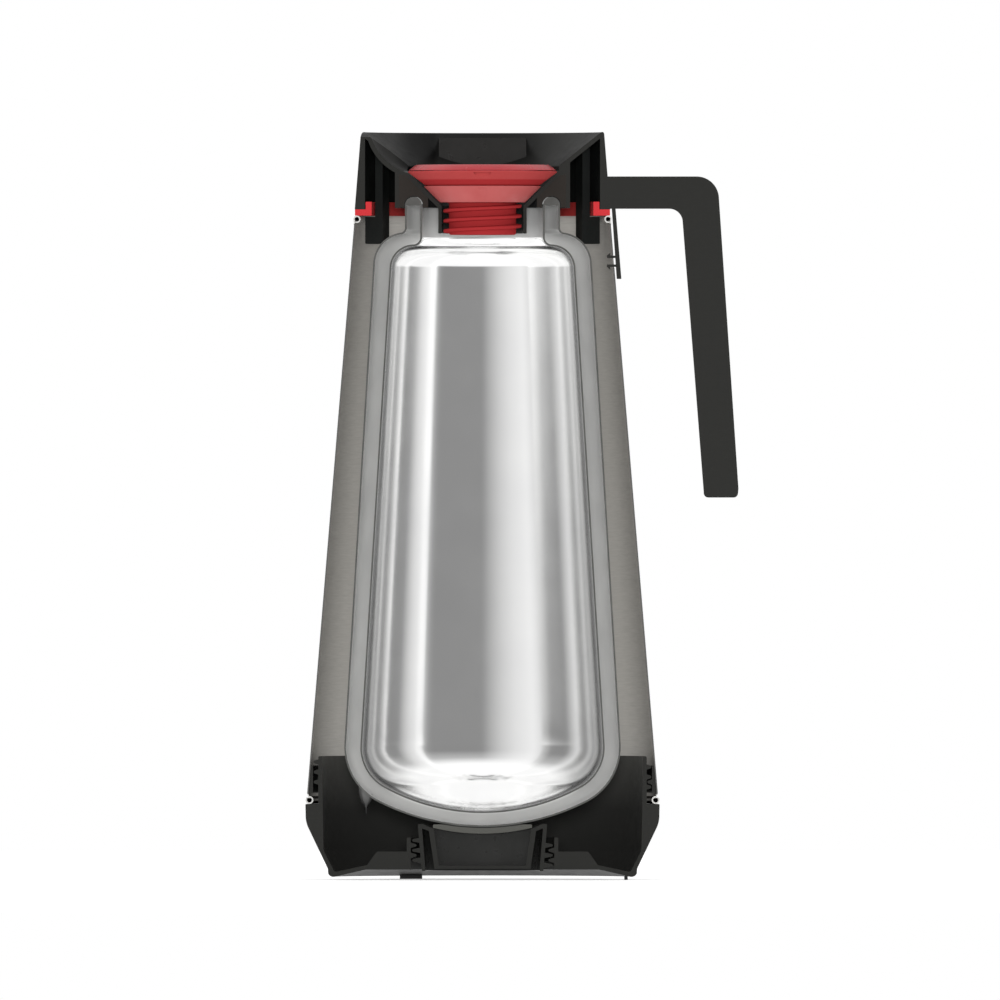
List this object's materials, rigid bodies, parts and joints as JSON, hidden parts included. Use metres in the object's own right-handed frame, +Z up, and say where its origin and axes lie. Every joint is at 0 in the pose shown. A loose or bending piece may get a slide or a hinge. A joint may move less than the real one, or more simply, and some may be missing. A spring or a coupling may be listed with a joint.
{
  "type": "thermal coffee jug",
  "caption": "Tapered thermal coffee jug cut in half lengthways, showing its vacuum flask, pouring head, side handle, threaded base and whole screw stopper.",
  "frame": {"origin": "bottom centre of the bounding box, on the surface that the feet stand on; the jug's own axis is the vertical line x = -0.01775, y = -0.0231", "axes": "+Z up along the jug's axis, +X towards the handle, -X towards the spout, -Y out of the cut face"},
  "size_m": [0.195, 0.1132, 0.3366],
  "materials": {
    "brushed_steel": "fine lines running round it",
    "black_plastic": "satin, near-black",
    "black_rubber": "matte",
    "grey_rubber": "matte, soft",
    "silvered_glass": "clear glass with a silver coat inside its walls",
    "red_silicone": "smooth satin",
    "red_plastic": "glossy, faintly translucent"
  },
  "bodies": {
    "shell": {"casing": "brushed_steel", "casing_thread_ring": "black_plastic", "head": "black_plastic", "head_seal_ring": "red_silicone", "rim_gasket": "black_rubber"},
    "flask": {"vacuum_flask": "silvered_glass"},
    "base": {"base": "black_plastic", "foot_1": "black_rubber", "foot_2": "black_rubber"},
    "cushion": {"flask_cushion": "grey_rubber"},
    "cap": {"support_cap": "black_plastic"},
    "stopper_seal": {"stopper_seal": "red_silicone"},
    "stopper": {"stopper": "red_plastic", "stopper_lid": "red_plastic"}
  },
  "joints": [
    {"name": "flask_drop", "type": "slide", "parent": "shell", "child": "flask", "axis": [0, 0, -1], "range_m": [0, 0.0091]},
    {"name": "base_turn", "type": "hinge", "parent": "flask", "child": "base", "pos_m": [-0.01775, -0.0231, 0.042], "axis": [0, 0, -1], "range_deg": [0, 720]},
    {"name": "cushion_drop", "type": "slide", "parent": "base", "child": "cushion", "axis": [0, 0, -1], "range_m": [0, 0.0136]},
    {"name": "cap_turn", "type": "hinge", "parent": "cushion", "child": "cap", "pos_m": [-0.01775, -0.0231, 0.014], "axis": [0, 0, -1], "range_deg": [0, 1080]},
    {"name": "stopper_lift", "type": "slide", "parent": "shell", "child": "stopper_seal", "axis": [0, 0, 1], "range_m": [0, 0.0136]},
    {"name": "stopper_turn", "type": "hinge", "parent": "stopper_seal", "child": "stopper", "pos_m": [-0.01775, -0.0231, 0.3], "axis": [0, 0, 1], "range_deg": [0, 1080]}
  ],
  "couplings": [
    {"joint": "flask_drop", "follows": "base_turn", "m_per_rad": 0.0007162},
    {"joint": "cushion_drop", "follows": "cap_turn", "m_per_rad": 0.0007162},
    {"joint": "stopper_lift", "follows": "stopper_turn", "m_per_rad": 0.0007162}
  ]
}
